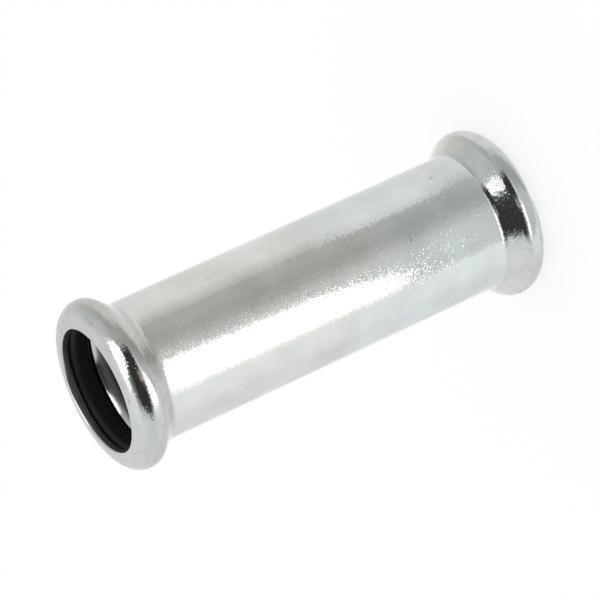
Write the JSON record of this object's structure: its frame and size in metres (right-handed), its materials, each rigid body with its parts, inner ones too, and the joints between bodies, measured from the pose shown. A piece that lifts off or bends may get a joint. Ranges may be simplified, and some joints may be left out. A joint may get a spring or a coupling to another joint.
{
  "type": "press slip coupling",
  "caption": "Straight press-fit slip coupling: zinc-plated steel sleeve with beaded ends that hold rubber seal rings, and a through bore with no pipe stop.",
  "frame": {"origin": "centre of the circle on which the lower lip rests, on the sleeve's axis", "axes": "+Z along the sleeve's axis, upwards from the lower end; X and Y are free, the part is round"},
  "size_m": [0.0316, 0.0314, 0.085],
  "materials": {
    "zinc_steel": "bright zinc plating over formed sheet, slightly grained",
    "seal_rubber": "smooth moulded black rubber"
  },
  "bodies": {
    "root": {"coupling_sleeve": "zinc_steel", "seal_ring_bottom": "seal_rubber", "seal_ring_top": "seal_rubber"}
  },
  "joints": []
}
